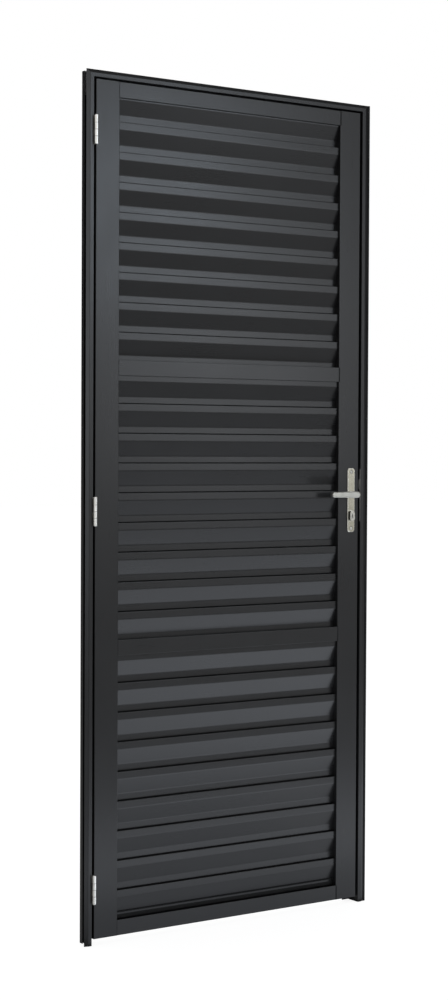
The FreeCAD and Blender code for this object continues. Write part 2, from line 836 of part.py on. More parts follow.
def make_key_cylinder():
    """Oblong key cylinder through the leaf, with a keyway at each end."""
    body = new_body("key_cylinder")
    sketch = new_sketch(body, "XZ_Plane")
    draw_slot(sketch, size("cylinder_width"), size("cylinder_height"))
    out = size("lock_plate_thickness + cylinder_proud")
    length = f"(Sizes.leaf_thickness + 2 * {out})"
    pad(body, sketch, length, backwards=True)
    keyway = rectangle(
        size("0 - keyway_width / 2"),
        size("0 - keyway_height / 2"),
        size("keyway_width / 2"),
        size("keyway_height / 2"),
    )
    front_way = new_sketch(body, "XZ_Plane")
    draw_corners(front_way, keyway)
    pocket(body, front_way, size("keyway_depth"))
    back_way = new_sketch(body, "XZ_Plane")
    draw_corners(back_way, keyway)
    back_way.setExpression("AttachmentOffset.Base.z", f"(0 - {length} + Sizes.keyway_depth)")
    pocket(body, back_way, size("keyway_depth"))
    place(body, LEVER_X, lock_face(FRONT_SIDE, out), size("lever_axis_height - cylinder_drop"))
    return body


def make_lock_case():
    """Mortise lock: a forend flush with the leaf's edge and the case behind it."""
    plate_low = size("lever_axis_height - lock_plate_drop - forend_height / 2")
    forend = make_box(
        "forend",
        size("forend_thickness"),
        size("forend_width"),
        size("forend_height"),
        size(f"{LEAF_RIGHT} - forend_thickness"),
        size(f"{LEAF_MIDDLE} - forend_width / 2"),
        plate_low,
    )
    case_left = size(f"{LEAF_RIGHT} - forend_thickness - case_depth")
    case_front = size(f"{LEAF_MIDDLE} - case_thickness / 2")
    case = make_box(
        "case_blank",
        size("case_depth"),
        size("case_thickness"),
        size("case_height"),
        case_left,
        case_front,
        size("lever_axis_height - lock_plate_drop - case_height / 2"),
    )
    whole = doc.addObject("Part::Fuse", "lock_whole")
    whole.Base, whole.Tool = forend, case
    spindle_bore = make_cylinder(
        "spindle_bore",
        size("spindle_side * 0.7072 + spindle_play"),
        size("case_thickness"),
        LEVER_X,
        f"({case_front} + Sizes.case_thickness)",
        size("lever_axis_height"),
    )
    spindle_bore.Placement.Rotation = FreeCAD.Rotation(FreeCAD.Vector(1, 0, 0), 90)
    half_width = size("cylinder_width / 2")
    cylinder_slot = make_box(
        "cylinder_slot",
        size("cylinder_width"),
        size("case_thickness"),
        size("cylinder_height"),
        f"({LEVER_X} - {half_width})",
        case_front,
        size("lever_axis_height - cylinder_drop - cylinder_height / 2"),
    )
    channel = make_box(
        "latch_channel",
        size("latch_tail + latch_travel + turning_play"),
        size("latch_thickness + 2 * turning_play"),
        size("latch_height + 2 * turning_play"),
        size(f"{LEAF_RIGHT} - latch_tail - latch_travel - turning_play"),
        size(f"{LEAF_MIDDLE} - latch_thickness / 2 - turning_play"),
        f"({LATCH_LOW} - Sizes.turning_play)",
    )
    hollows = doc.addObject("Part::MultiFuse", "lock_hollows")
    hollows.Shapes = [spindle_bore, cylinder_slot, channel]
    lock = doc.addObject("Part::Cut", "lock_case")
    lock.Base, lock.Tool = whole, hollows
    return keep(lock, "lock_case")


def make_latch():
    """Sprung latch bolt, bevelled on the side that meets the strike as the leaf closes."""
    thickness, throw = size("latch_thickness"), size("latch_throw")
    tail = size("0 - latch_tail")
    corners = [
        (tail, "0"),
        (throw, "0"),
        (throw, f"({thickness} - Sizes.latch_bevel)"),
        (f"({throw} - Sizes.latch_bevel)", thickness),
        (tail, thickness),
    ]
    low_y = size(f"{LEAF_MIDDLE} - latch_thickness / 2")
    return extruded(
        "latch_bolt", "XY_Plane", [corners], size("latch_height"), LEAF_RIGHT, low_y, LATCH_LOW
    )


# Assembly

hinge_jamb = make_jamb("hinge_jamb", 1, "0")
lock_jamb = make_jamb("lock_jamb", -1, f"({LOCK_REBATE} + {JAMB})")
cut_strike_window(lock_jamb)
make_header()
make_upright_trim("hinge_trim", 1, size("0 - wall_cover"))
make_upright_trim("lock_trim", -1, size("frame_width - wall_cover"))
make_head_trim()
make_corner_plate("hinge_corner_plate", f"({JAMB} - Sizes.frame_skin - Sizes.corner_plate_thickness)")
make_corner_plate("lock_corner_plate", f"({LOCK_REBATE} + Sizes.frame_skin)")
make_strike()

make_stile("hinge_stile", LEAF_LEFT)
lock_stile = make_stile("lock_stile", f"({LEAF_RIGHT} - Sizes.stile_width)")
cut_lock_openings(lock_stile)
middle_web = size("rail_height / 2 - leaf_skin / 2")
make_rail("top_rail", TOP_RAIL, size("rail_height - leaf_skin"), open_above=False)
make_rail("upper_mid_rail", UPPER_RAIL, middle_web)
make_rail("lower_mid_rail", LOWER_RAIL, middle_web)
make_rail("bottom_rail", BOTTOM_RAIL, "0", open_below=False)
make_blades("upper", UPPER_FOOT)
make_blades("middle", MIDDLE_FOOT)
make_blades("lower", LOWER_FOOT)

for height, centre in HINGE_CENTRES.items():
    make_hinge_half(f"frame_hinge_{height}", centre, FRAME_KNUCKLES, JAMB, bored=False)
    door_plate_x = f"({LEAF_LEFT} - Sizes.hinge_plate)"
    make_hinge_half(f"door_hinge_{height}", centre, DOOR_KNUCKLES, door_plate_x, bored=True)

make_lock_case()
make_latch()
make_key_cylinder()
make_spindle()
for room, side in (("inside", FRONT_SIDE), ("outside", BACK_SIDE)):
    make_lock_plate(f"{room}_lock_plate", side)
    make_lever(f"{room}_lever", side)

doc.recompute()

# Tests before anything is written

for thing in doc.Objects:
    if "Invalid" in thing.State or "Error" in thing.State:
        raise RuntimeError(f"{thing.Label} failed: {thing.State}")
for piece in PIECES:
    if piece.Shape.isNull() or not piece.Shape.isValid():
        raise RuntimeError(f"{piece.Label} has no valid shape")

os.makedirs("parts", exist_ok=True)
for piece in PIECES:
    piece.Shape.exportStep(f"parts/{piece.Label}.step")
    print(f"{piece.Label}: {len(piece.Shape.Solids)} solid, {piece.Shape.Volume:.0f} mm3")
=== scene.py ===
"""Dresses the louvred door: coated profiles, hinges, lock, dark strips of painted shade, small fasteners
and a plain studio.
"""

from __future__ import annotations

import logging
import math
from dataclasses import dataclass
from enum import Enum, IntEnum
from typing import Any, Sequence

import bpy
import numpy as np
from bpy.types import Material, Node, NodeSocket, NodeTree, Object, Scene
from mathutils import Matrix, Vector

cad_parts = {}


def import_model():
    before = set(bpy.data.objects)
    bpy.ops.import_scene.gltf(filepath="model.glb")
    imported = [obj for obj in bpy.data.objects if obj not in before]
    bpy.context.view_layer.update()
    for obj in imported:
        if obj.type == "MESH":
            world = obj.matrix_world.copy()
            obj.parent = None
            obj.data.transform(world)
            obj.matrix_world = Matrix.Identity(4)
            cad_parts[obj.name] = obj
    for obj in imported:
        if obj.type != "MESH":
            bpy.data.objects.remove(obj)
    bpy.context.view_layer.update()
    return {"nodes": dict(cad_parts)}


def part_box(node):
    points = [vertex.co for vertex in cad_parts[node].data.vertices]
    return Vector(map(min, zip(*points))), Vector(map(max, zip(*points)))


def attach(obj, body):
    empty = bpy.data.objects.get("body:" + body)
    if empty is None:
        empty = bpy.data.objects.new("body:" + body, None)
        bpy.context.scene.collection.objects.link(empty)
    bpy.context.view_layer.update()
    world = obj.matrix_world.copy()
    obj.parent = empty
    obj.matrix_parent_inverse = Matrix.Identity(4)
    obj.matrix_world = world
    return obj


LOG = logging.getLogger("louvred_door")
MM = 0.001
SHARP_ANGLE = math.radians(32.0)
NOISE_MIDDLE = 0.5
WHITE = (1.0, 1.0, 1.0)
# Dull black of the painted shade in crevices and on flanks.
SHADE_BLACK = (0.006, 0.006, 0.006)
PANEL_COLOUR = (0.92, 0.98, 1.08)

Colour = tuple[float, float, float]
Point = tuple[float, float, float]
Range = tuple[float, float]
Nodes = dict[str, Object]


class Axis(IntEnum):
    """Axes of the shared frame: X towards the lock side, Y into the wall, Z up."""

    X = 0
    Y = 1
    Z = 2


class Body(Enum):
    """Rigid bodies of the door that the added pieces ride on."""

    FRAME = "frame"
    LEAF = "leaf"


class Slot(Enum):
    """Material slots of the record, passed along with the added pieces."""

    BLACK_COAT = "black_coat"
    HINGE_SILVER = "hinge_silver"
    LOCK_NICKEL = "lock_nickel"


class Lay(Enum):
    """Direction that a profile was drawn or brushed in, as the stretch of a pattern on X, Y and Z."""

    LEVEL = (0.02, 1.0, 1.0)
    UPRIGHT = (1.0, 1.0, 0.02)
    NONE = (1.0, 1.0, 1.0)


class Detail(Enum):
    """How many finer layers lie on a noise pattern."""

    PLAIN = 0.0
    SOFT = 1.0
    FIBROUS = 3.0
    CLOUDY = 4.0


class Value:
    """A number that a node gives, which takes part in Python arithmetic."""

    def __init__(self, graph: "Graph", socket: NodeSocket) -> None:
        """Wrap an output socket of a node in a graph."""
        self.graph = graph
        self.socket = socket

    def _math(self, operation: str, first: Any, second: Any) -> "Value":
        """Add one Math node.

        Args:
            operation: name of the Math node's operation.
            first: number or Value on its first socket.
            second: number or Value on its second socket.

        Returns:
            The node's result.
        """
        made = self.graph.node("ShaderNodeMath", {"operation": operation}, {0: first, 1: second})
        return self.graph.out(made, "Value")

    def __add__(self, other: Any) -> "Value":
        """Sum."""
        return self._math("ADD", self, other)

    __radd__ = __add__

    def __sub__(self, other: Any) -> "Value":
        """Difference."""
        return self._math("SUBTRACT", self, other)

    def __rsub__(self, other: Any) -> "Value":
        """Difference from a number."""
        return self._math("SUBTRACT", other, self)

    def __mul__(self, other: Any) -> "Value":
        """Product."""
        return self._math("MULTIPLY", self, other)

    __rmul__ = __mul__

    def at_most(self, other: Any) -> "Value":
        """Lesser of two values."""
        return self._math("MINIMUM", self, other)

    def at_least(self, other: Any) -> "Value":
        """Greater of two values."""
        return self._math("MAXIMUM", self, other)

    def over(self, span: Range) -> "Value":
        """Smooth step from 0 at the low end of a span to 1 at its high end."""
        made = self.graph.node(
            "ShaderNodeMapRange",
            {"interpolation_type": "SMOOTHSTEP"},
            {"Value": self, "From Min": span[0], "From Max": span[1]},
        )
        return self.graph.out(made, "Result")


class Graph:
    """A node tree that is emptied and filled from Python."""

    def __init__(self, tree: NodeTree) -> None:
        """Empty the tree."""
        self.tree = tree
        tree.nodes.clear()

    def node(
        self, kind: str, settings: dict[str, Any] | None = None, inputs: dict[Any, Any] | None = None
    ) -> Node:
        """Make a node.

        Args:
            kind: type name of the node.
            settings: properties set before the sockets.
            inputs: numbers, colours, Values, sockets or nodes by socket name or number.

        Returns:
            The new node.
        """
        made = self.tree.nodes.new(kind)
        for name, setting in (settings or {}).items():
            setattr(made, name, setting)
        for key, given in (inputs or {}).items():
            self.feed(self.socket(made, key), given)
        return made

    @staticmethod
    def socket(made: Node, key: Any) -> NodeSocket:
        """Find an input of a node.

        Args:
            made: the node.
            key: number of the input, or the name that the enabled one has.

        Returns:
            The input.
        """
        if isinstance(key, int):
            return made.inputs[key]
        return next(one for one in made.inputs if one.name == key and one.enabled)

    def feed(self, socket: NodeSocket, given: Any) -> None:
        """Link or set an input socket.

        Args:
            socket: the input.
            given: a Value, an output socket, a node whose first output is meant, or a plain value.
        """
        if isinstance(given, Value):
            self.tree.links.new(given.socket, socket)
        elif isinstance(given, NodeSocket):
            self.tree.links.new(given, socket)
        elif isinstance(given, Node):
            self.tree.links.new(given.outputs[0], socket)
        elif isinstance(given, tuple) and len(given) == 3 and socket.type == "RGBA":
            socket.default_value = (*given, 1.0)
        else:
            socket.default_value = given

    def out(self, made: Node, name: str) -> Value:
        """Wrap the enabled output of that name."""
        return Value(self, next(one for one in made.outputs if one.name == name and one.enabled))

    def place(self, lay: Lay = Lay.NONE) -> Node:
        """Object coordinates, stretched along the lay of a pattern.

        Args:
            lay: the direction of the pattern.

        Returns:
            A node whose first output is the place.
        """
        spot = self.node("ShaderNodeTexCoord").outputs["Object"]
        return self.node("ShaderNodeMapping", None, {"Vector": spot, "Scale": lay.value})

    def noise(self, place: Node, per_metre: float, detail: Detail, roughness: float = 0.55) -> Value:
        """Noise between 0 and 1.

        Args:
            place: node that gives the coordinates.
            per_metre: cells in a metre.
            detail: how many finer layers lie on it.
            roughness: how strong each finer layer is.

        Returns:
            The noise.
        """
        made = self.node(
            "ShaderNodeTexNoise",
            None,
            {"Vector": place, "Scale": per_metre, "Detail": detail.value, "Roughness": roughness},
        )
        return self.out(made, "Fac")

    def dot(self, first: Any, second: Any) -> Value:
        """Cosine between two directions."""
        made = self.node("ShaderNodeVectorMath", {"operation": "DOT_PRODUCT"}, {0: first, 1: second})
        return self.out(made, "Value")

    def towards(self, direction: Point) -> Value:
        """Cosine between the direction that a surround is seen in and a given one."""
        return self.dot(self.node("ShaderNodeTexCoord").outputs["Generated"], direction)

    def facing(self, axis: Point) -> Value:
        """Squared cosine between a piece's own normal and one of its axes."""
        cosine = self.dot(self.node("ShaderNodeTexCoord").outputs["Normal"], axis)
        return cosine * cosine

    def mix(self, factor: Any, first: Any, second: Any) -> NodeSocket:
        """Blend two colours."""
        made = self.node(
            "ShaderNodeMix", {"data_type": "RGBA"}, {"Factor": factor, "A": first, "B": second}
        )
        return next(one for one in made.outputs if one.enabled)

    def edges(self, reach: float, turn: Range = (0.01, 0.2), samples: int = 4) -> Value:
        """Mask of convex and concave edges.

        Args:
            reach: how far from an edge it shows, in metres.
            turn: loss of the cosine between soft and true normal at which the mask starts and is full.
            samples: rays of the soft normal.

        Returns:
            The mask, from 0 to 1.
        """
        soft = self.node("ShaderNodeBevel", {"samples": samples}, {"Radius": reach})
        true = self.node("ShaderNodeNewGeometry").outputs["Normal"]
        return (1.0 - self.dot(soft, true)).over(turn)

    def crevices(self, reach: float, shut: Range, samples: int = 6) -> Value:
        """Mask of places that other surfaces shut in.

        Args:
            reach: how far away these surfaces count, in metres.
            shut: share of the view shut off at which the mask starts and is full.
            samples: rays of the test.

        Returns:
            The mask, from 0 to 1.
        """
        made = self.node("ShaderNodeAmbientOcclusion", {"samples": samples}, {"Distance": reach})
        return (1.0 - self.out(made, "AO")).over(shut)

    def bump(self, height: Value, distance: float, strength: float) -> Node:
        """Turn a height into a shading normal."""
        return self.node(
            "ShaderNodeBump", None, {"Height": height, "Distance": distance, "Strength": strength}
        )

    def finish(self, inputs: dict[str, Any], shade_share: Value | None = None) -> None:
        """Close the tree with a Principled shader.

        Args:
            inputs: values and links of the shader's sockets.
            shade_share: where painted shade, a dull black diffuse, takes the shader's place, from 0 to 1.
        """
        shader = self.node("ShaderNodeBsdfPrincipled", None, inputs)
        # Painted shade: a dull black diffuse takes the shader's place by the given share.
        if shade_share is not None:
            painted_shade = self.node("ShaderNodeBsdfDiffuse", None, {"Color": SHADE_BLACK})
            shader = self.node("ShaderNodeMixShader", None, {0: shade_share, 1: shader, 2: painted_shade})
        self.node("ShaderNodeOutputMaterial", None, {"Surface": shader})


def new_graph(name: str) -> tuple[Material, Graph]:
    """Start a node material.

    Args:
        name: its name.

    Returns:
        The material and its emptied graph.
    """
    material = bpy.data.materials.new(name)
    material.use_nodes = True
    return material, Graph(material.node_tree)


@dataclass(frozen=True)
class PowderCoat:
    """Satin black powder coat on a drawn profile.

    It has orange peel, draw lines, clouds, fine specks, edges rubbed paler and painted shade, a dull black
    film, in crevices.
    """

    name: str
    lay: Lay
    gloss: float
    colour: Colour = (0.007, 0.007, 0.0075)
    pale: Colour = (0.012, 0.012, 0.0125)
    rubbed: Colour = (0.05, 0.05, 0.052)
    roughness: float = 0.29
    peel_per_metre: float = 620.0
    peel_depth: float = 0.06 * MM
    peel_strength: float = 0.35
    lines_per_metre: float = 420.0
    line_height: float = 0.25
    line_roughness: float = 0.07
    clouds_per_metre: float = 5.0
    cloud_share: float = 0.7
    cloud_roughness: float = 0.08
    specks_per_metre: float = 2480.0
    speck_span: Range = (0.72, 0.8)
    speck_share: float = 0.3
    speck_roughness: float = 0.05
    edge_reach: float = 0.8 * MM
    wear_per_metre: float = 90.0
    wear_span: Range = (0.25, 0.65)
    wear_share: float = 0.7
    wear_polish: float = 0.05
    crevice_reach: float = 6.0 * MM
    crevice_shut: Range = (0.48, 0.86)
    crevice_shade_depth: float = 0.82

    def material(self) -> Material:
        """Build the material: clouds and worn edges drive colour, lines roughness, peel bump, and painted
        shade darkens crevices.

        Returns:
            The material.
        """
        material, graph = new_graph(self.name)
        flat = graph.place()
        peel = graph.noise(flat, self.peel_per_metre, Detail.SOFT)
        clouds = graph.noise(flat, self.clouds_per_metre, Detail.CLOUDY)
        lines = graph.noise(graph.place(self.lay), self.lines_per_metre, Detail.FIBROUS)
        specks = graph.noise(flat, self.specks_per_metre, Detail.PLAIN).over(self.speck_span)
        rubs = graph.noise(flat, self.wear_per_metre, Detail.FIBROUS).over(self.wear_span)
        worn = graph.edges(self.edge_reach) * rubs
        roughness = (
            self.roughness
            + self.cloud_roughness * (clouds - NOISE_MIDDLE)
            + self.line_roughness * (lines - NOISE_MIDDLE)
            + self.speck_roughness * specks
            - self.wear_polish * worn
        )
        coat = graph.mix(clouds * self.cloud_share + specks * self.speck_share, self.colour, self.pale)
        height = peel + self.line_height * lines
        # Painted shade: crevices that other surfaces shut in turn dull black.
        graph.finish(
            {
                "Base Color": graph.mix(worn * self.wear_share, coat, self.rubbed),
                "Roughness": roughness,
                "Specular IOR Level": self.gloss,
                "Normal": graph.bump(height, self.peel_depth, self.peel_strength),
            },
            graph.crevices(self.crevice_reach, self.crevice_shut) * self.crevice_shade_depth,
        )
        return material


@dataclass(frozen=True)
class BrushedMetal:
    """Satin metal with fine brush lines, dulled patches, paler edges that are partly polish from use and
    partly painted highlight, and painted shade in crevices and on flanks.
    """

    name: str
    lay: Lay
    colour: Colour
    dull: Colour
    roughness: float
    bright: Colour = (0.92, 0.92, 0.89)
    metal: float = 1.0
    lines_per_metre: float = 2600.0
    line_depth: float = 0.02 * MM
    line_strength: float = 0.3
    line_roughness: float = 0.16
    patches_per_metre: float = 60.0
    patch_span: Range = (0.35, 0.75)
    patch_roughness: float = 0.1
    edge_reach: float = 0.5 * MM
    edge_share: float = 0.75
    edge_polish: float = 0.06
    painted_crevice_shade: float = 0.7
    crevice_reach: float = 1.6 * MM
    crevice_shut: Range = (0.28, 0.6)
    shaded_flank_axis: Point | None = None
    flank_shade_span: Range = (0.35, 0.7)
    flank_shade_depth: float = 0.88

    def material(self) -> Material:
        """Build the material: brush lines drive roughness and bump, patches and edges drive colour, and
        painted shade darkens crevices and flanks along the given axis.

        Returns:
            The material.
        """
        material, graph = new_graph(self.name)
        lines = graph.noise(graph.place(self.lay), self.lines_per_metre, Detail.FIBROUS)
        patches = graph.noise(graph.place(), self.patches_per_metre, Detail.FIBROUS)
        # Paler edges: polish from use, and partly painted highlight, widest on the lock plates.
        polish_and_highlight = graph.edges(self.edge_reach)
        roughness = (
            self.roughness
            + self.line_roughness * (lines - NOISE_MIDDLE)
            + self.patch_roughness * (patches - NOISE_MIDDLE)
            - self.edge_polish * polish_and_highlight
        )
        face = graph.mix(patches.over(self.patch_span), self.colour, self.dull)
        # Painted shade: crevices that other surfaces shut in, and flanks whose normal lies along the given
        # axis, turn dull black.
        painted_shade = graph.crevices(self.crevice_reach, self.crevice_shut) * self.painted_crevice_shade
        if self.shaded_flank_axis is not None:
            flank = graph.facing(self.shaded_flank_axis).over(self.flank_shade_span)
            painted_shade = painted_shade.at_least(flank * self.flank_shade_depth)
        graph.finish(
            {
                "Base Color": graph.mix(polish_and_highlight * self.edge_share, face, self.bright),
                "Metallic": self.metal,
                "Roughness": roughness,
                "Normal": graph.bump(lines, self.line_depth, self.line_strength),
            },
            painted_shade,
        )
        return material


METALS = (
    BrushedMetal(
        "hinge_silver", Lay.UPRIGHT, colour=(0.88, 0.87, 0.83), dull=(0.8, 0.79, 0.74), roughness=0.38
    ),
    BrushedMetal(
        "lock_nickel",
        Lay.UPRIGHT,
        colour=(0.42, 0.4, 0.325),
        dull=(0.36, 0.34, 0.27),
        roughness=0.27,
        # The wide pale rim that this gives the lock plates is painted highlight.
        edge_reach=5.0 * MM,
    ),
    BrushedMetal(
        "cylinder_nickel",
        Lay.NONE,
        colour=(0.66, 0.65, 0.59),
        dull=(0.58, 0.57, 0.51),
        roughness=0.16,
        edge_reach=1.2 * MM,
        # Painted shade on the key cylinder's flanks that face the sides.
        shaded_flank_axis=(1.0, 0.0, 0.0),
    ),
    BrushedMetal(
        "lever_silver", Lay.LEVEL, colour=(0.5, 0.495, 0.455), dull=(0.42, 0.415, 0.38), roughness=0.34
    ),
    BrushedMetal(
        "zinc_plate",
        Lay.UPRIGHT,
        colour=(0.86, 0.86, 0.84),
        dull=(0.74, 0.74, 0.71),
        roughness=0.45,
        metal=0.15,
        painted_crevice_shade=0.0,
    ),
    # Dark metal of the rings of painted shadow round the lock plate screws.
    BrushedMetal(
        "shadow_ring_steel",
        Lay.NONE,
        colour=(0.06, 0.055, 0.05),
        dull=(0.04, 0.038, 0.035),
        roughness=0.5,
        bright=(0.1, 0.1, 0.095),
    ),
    BrushedMetal(
        "bare_aluminium", Lay.UPRIGHT, colour=(0.7, 0.7, 0.71), dull=(0.58, 0.58, 0.59), roughness=0.5
    ),
    BrushedMetal(
        "screw_steel", Lay.NONE, colour=(0.66, 0.65, 0.6), dull=(0.5, 0.49, 0.45), roughness=0.36
    ),
    BrushedMetal(
        "worn_steel",
        Lay.UPRIGHT,
        colour=(0.32, 0.31, 0.29),
        dull=(0.22, 0.21, 0.2),
        roughness=0.45,
        metal=0.15,
        painted_crevice_shade=0.0,
    ),
)


@dataclass(frozen=True)
class ShadeStripRubber:
    """Dull black rubber with a fine moulded grain and pale dust, for the dark strips of painted shade."""

    name: str
    colour: Colour = (0.004, 0.004, 0.0042)
    dusty: Colour = (0.01, 0.01, 0.01)
    gloss: float = 0.2
    roughness: float = 0.6
    grain_per_metre: float = 1800.0
    grain_depth: float = 0.05 * MM
    grain_strength: float = 0.3
    dust_per_metre: float = 40.0
    dust_span: Range = (0.4, 0.75)
    dust_roughness: float = 0.12

    def material(self) -> Material:
        """Build the material: dust drives colour and roughness, grain drives bump.

        Returns:
            The material.
        """
        material, graph = new_graph(self.name)
        place = graph.place()
        grain = graph.noise(place, self.grain_per_metre, Detail.SOFT)
        dust = graph.noise(place, self.dust_per_metre, Detail.CLOUDY).over(self.dust_span)
        graph.finish(
            {
                "Base Color": graph.mix(dust, self.colour, self.dusty),
                "Roughness": self.roughness + self.dust_roughness * dust,
                "Specular IOR Level": self.gloss,
                "Normal": graph.bump(grain, self.grain_depth, self.grain_strength),
            }
        )
        return material


@dataclass(frozen=True)
class PaleFloor:
    """Floor paint that is white to the eye and keeps a faint shadow."""

    name: str
    pale: Colour = (0.6, 0.6, 0.6)
    shadow: Colour = (0.25, 0.25, 0.25)
    glow: float = 0.9

    def material(self) -> Material:
        """Build the material: a plain pale floor to light, a glowing one to the eye.

        Returns:
            The material.
        """
        material, graph = new_graph(self.name)
        eye = graph.out(graph.node("ShaderNodeLightPath"), "Is Camera Ray")
        pale = graph.node("ShaderNodeBsdfDiffuse", None, {"Color": self.pale})
        shadow = graph.node("ShaderNodeBsdfDiffuse", None, {"Color": self.shadow})
        glow = graph.node("ShaderNodeEmission", None, {"Color": WHITE, "Strength": self.glow})
        seen = graph.node("ShaderNodeAddShader", None, {0: shadow, 1: glow})
        mixed = graph.node("ShaderNodeMixShader", None, {0: eye, 1: pale, 2: seen})
        graph.node("ShaderNodeOutputMaterial", None, {"Surface": mixed})
        return material


@dataclass(frozen=True)
class Finishes:
    """Every finish of the door, made once."""

    upright_coat: Material
    level_coat: Material
    hinge_silver: Material
    lock_nickel: Material
    cylinder_nickel: Material
    lever_silver: Material
    zinc_plate: Material
    shadow_ring_steel: Material
    bare_aluminium: Material
    screw_steel: Material
    worn_steel: Material
    shade_strip_rubber: Material

    @staticmethod
    def make() -> "Finishes":
        """Build all materials. Each metal is named after its field."""
        return Finishes(
            upright_coat=PowderCoat("black_coat_upright", Lay.UPRIGHT, gloss=0.42).material(),
            level_coat=PowderCoat("black_coat_level", Lay.LEVEL, gloss=0.46).material(),
            **{metal.name: metal.material() for metal in METALS},
            shade_strip_rubber=ShadeStripRubber("shade_strip_rubber").material(),
        )


@dataclass
class Surface:
    """Points of a closed shell, in metres, and its faces as groups of equal corner count."""

    points: np.ndarray
    faces: list[np.ndarray]

    @staticmethod
    def turned(radii: np.ndarray, heights: np.ndarray, sides: int) -> "Surface":
        """Turn a profile about Z.

        Point (i, j) is at angle 2 pi j / sides, radius radii[i] and height heights[i]. The first and last
        radius are 0 and become one pole each.

        Args:
            radii: distance of each profile point from the axis.
            heights: height of each profile point.
            sides: points in each ring.

        Returns:
            The closed shell, outward from a profile that starts at the top pole.
        """
        angle = np.linspace(0.0, 2.0 * np.pi, sides, endpoint=False)
        ring = np.stack([np.cos(angle), np.sin(angle)], axis=-1)
        body = radii[1:-1, None, None] * ring[None]
        level = np.broadcast_to(heights[1:-1, None, None], (*body.shape[:2], 1))
        rings = np.concatenate([body, level], axis=-1).reshape(-1, 3)
        poles = np.array([[0.0, 0.0, heights[0]], [0.0, 0.0, heights[-1]]])
        count = len(radii) - 2
        index = np.arange(count * sides).reshape(count, sides)
        after = np.roll(index, -1, axis=1)
        quads = np.stack([index[:-1], index[1:], after[1:], after[:-1]], axis=-1).reshape(-1, 4)
        top = np.full(sides, count * sides)
        top_cap = np.stack([top, index[0], after[0]], axis=-1)
        bottom_cap = np.stack([top + 1, after[-1], index[-1]], axis=-1)
        return Surface(np.concatenate([rings, poles]), [quads, top_cap, bottom_cap])

    @staticmethod
    def lofted(rings: np.ndarray) -> "Surface":
        """Close a stack of rings: point (i, j) is point j of ring i, and each end ring is a face.

        Args:
            rings: levels x sides x 3 points, anticlockwise seen from the last ring.

        Returns:
            The closed shell.
        """
        levels, sides = rings.shape[:2]
        index = np.arange(levels * sides).reshape(levels, sides)
        after = np.roll(index, -1, axis=1)
        quads = np.stack([index[:-1], after[:-1], after[1:], index[1:]], axis=-1).reshape(-1, 4)
        return Surface(rings.reshape(-1, 3), [quads, index[None, -1], index[None, 0, ::-1]])

    @staticmethod
    def carried(outline: np.ndarray, axis: Axis, start: float, end: float) -> "Surface":
        """Carry an outline straight along an axis.

        Args:
            outline: sides x 2 points on the other two axes, anticlockwise seen from the axis's far end.
            axis: the axis that it moves along.
            start: its first place on the axis.
            end: its last place on the axis.

        Returns:
            The closed shell.
        """
        rings = [np.insert(outline, axis, place, axis=1) for place in (start, end)]
        return Surface.lofted(np.stack(rings))

    @staticmethod
    def torus(radius: float, thick: float, sides: int = 48, steps: int = 12) -> "Surface":
        """Make a ring about Z.

        At angles a and b the point is radius + thick cos b from Z, at angle a and height thick sin b.

        Args:
            radius: radius of the ring.
            thick: radius of the ring's section.
            sides: steps round the axis.
            steps: steps round the section.

        Returns:
            The closed shell.
        """
        turn = np.linspace(0.0, 2.0 * np.pi, sides, endpoint=False)[:, None]
        roll = np.linspace(0.0, 2.0 * np.pi, steps, endpoint=False)[None, :]
        reach = radius + thick * np.cos(roll)
        level = np.broadcast_to(thick * np.sin(roll), (sides, steps))
        points = np.stack([reach * np.cos(turn), reach * np.sin(turn), level], axis=-1)
        index = np.arange(sides * steps).reshape(sides, steps)
        onward = np.roll(index, -1, axis=0)
        around = np.roll(index, -1, axis=1)
        corner = np.roll(onward, -1, axis=1)
        quads = np.stack([index, onward, corner, around], axis=-1).reshape(-1, 4)
        return Surface(points.reshape(-1, 3), [quads])

    def placed(self, centre: Sequence[float], axis: Sequence[float]) -> "Surface":
        """Stand the shell's Z along an axis at a point.

        Args:
            centre: where the shell's origin goes.
            axis: direction of the shell's Z.

        Returns:
            The moved shell.
        """
        turn = np.array(Vector(axis).to_track_quat("Z", "Y").to_matrix())
        return Surface(self.points @ turn.T + np.asarray(centre, float), self.faces)

    @staticmethod
    def joined(parts: Sequence["Surface"]) -> "Surface":
        """Put shells that don't touch into one.

        Args:
            parts: the shells.

        Returns:
            One shell with all their points and faces.
        """
        starts = np.cumsum([0] + [len(part.points) for part in parts[:-1]])
        faces = [group + start for part, start in zip(parts, starts) for group in part.faces]
        return Surface(np.concatenate([part.points for part in parts]), faces)

    def to_object(self, name: str, material: Material, body: Body, slot: Slot) -> None:
        """Make the shell a smooth-shaded piece at the origin that rides on a body.

        Args:
            name: the piece's name.
            material: its finish.
            body: what it rides on.
            slot: the record's material slot; not used.
        """
        mesh = bpy.data.meshes.new(name)
        faces = [face for group in self.faces for face in group.tolist()]
        mesh.from_pydata(self.points.tolist(), [], faces)
        mesh.polygons.foreach_set("use_smooth", np.ones(len(mesh.polygons), bool))
        mesh.set_sharp_from_angle(angle=SHARP_ANGLE)
        mesh.materials.append(material)
        mesh.update()
        piece = bpy.data.objects.new(name, mesh)
        bpy.context.scene.collection.objects.link(piece)
        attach(piece, body.value)
        LOG.info("%s: %d faces on %s", name, len(mesh.polygons), body.value)


